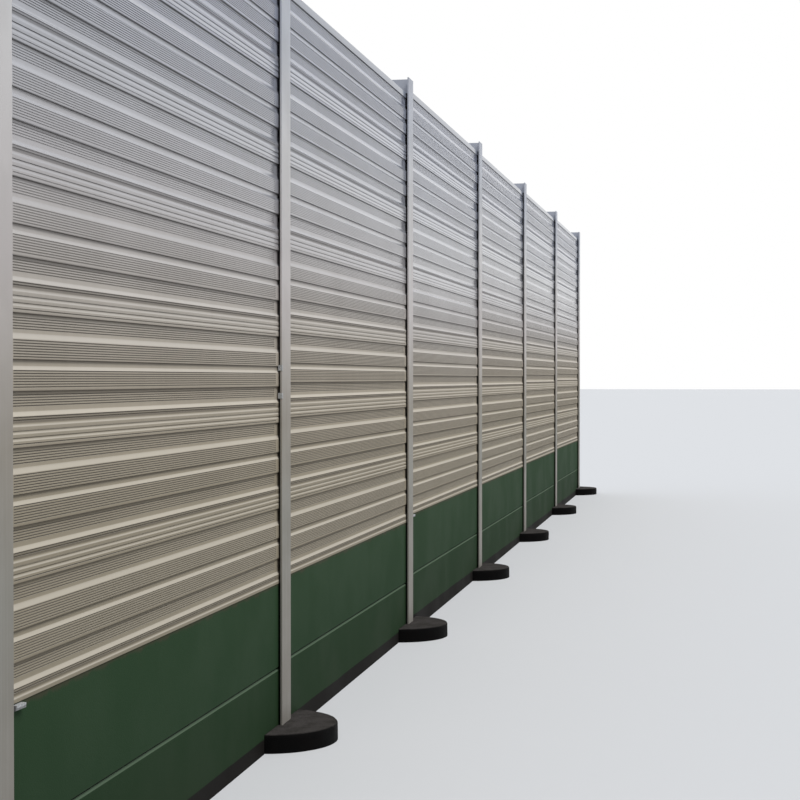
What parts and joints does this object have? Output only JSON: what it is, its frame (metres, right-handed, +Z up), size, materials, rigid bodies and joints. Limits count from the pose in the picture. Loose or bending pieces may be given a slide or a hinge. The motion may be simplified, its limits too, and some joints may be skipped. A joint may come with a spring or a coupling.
{
  "type": "railway noise barrier section",
  "caption": "Straight line-side noise barrier: steel posts in round pile caps, green concrete plinth slabs and ribbed aluminium cassettes stacked between the posts.",
  "frame": {"origin": "foot of the middle post, on the post's axis, at the level of the lowest ground, which is the ground at post_1", "axes": "+X along the barrier, the way its bays step up, -Y out of the front face, +Z up"},
  "size_m": [24.79, 0.79, 4.679],
  "materials": {
    "galvanised_post": "satin grey coating over hot-dip galvanising",
    "pile_cap_concrete": "dark weathered concrete with a black coated side",
    "green_concrete": "green painted concrete, matt",
    "cassette_sheet": "light grey coated sheet, finely ribbed, satin",
    "closing_strip_sheet": "light grey coated sheet, satin",
    "galvanised_fitting": "hot-dip galvanised",
    "seal_rubber": "black"
  },
  "bodies": {
    "root": {"post_1": "galvanised_post", "post_2": "galvanised_post", "post_3": "galvanised_post", "post_4": "galvanised_post", "post_5": "galvanised_post", "post_6": "galvanised_post", "post_7": "galvanised_post", "pile_cap_1": "pile_cap_concrete", "pile_cap_2": "pile_cap_concrete", "pile_cap_3": "pile_cap_concrete", "pile_cap_4": "pile_cap_concrete", "pile_cap_5": "pile_cap_concrete", "pile_cap_6": "pile_cap_concrete", "pile_cap_7": "pile_cap_concrete", "plinth_lower_1": "green_concrete", "plinth_lower_2": "green_concrete", "plinth_lower_3": "green_concrete", "plinth_lower_4": "green_concrete", "plinth_lower_5": "green_concrete", "plinth_lower_6": "green_concrete", "plinth_upper_1": "green_concrete", "plinth_upper_2": "green_concrete", "plinth_upper_3": "green_concrete", "plinth_upper_4": "green_concrete", "plinth_upper_5": "green_concrete", "plinth_upper_6": "green_concrete", "cassette_course_1": "cassette_sheet", "cassette_course_2": "cassette_sheet", "cassette_course_3": "cassette_sheet", "cassette_course_4": "cassette_sheet", "cassette_course_5": "cassette_sheet", "cassette_course_6": "cassette_sheet", "cassette_course_7": "cassette_sheet", "closing_strips": "closing_strip_sheet", "edge_seals_front": "seal_rubber", "edge_seals_back": "seal_rubber", "slab_wedges": "galvanised_fitting", "gap_clips": "galvanised_fitting"}
  },
  "joints": []
}
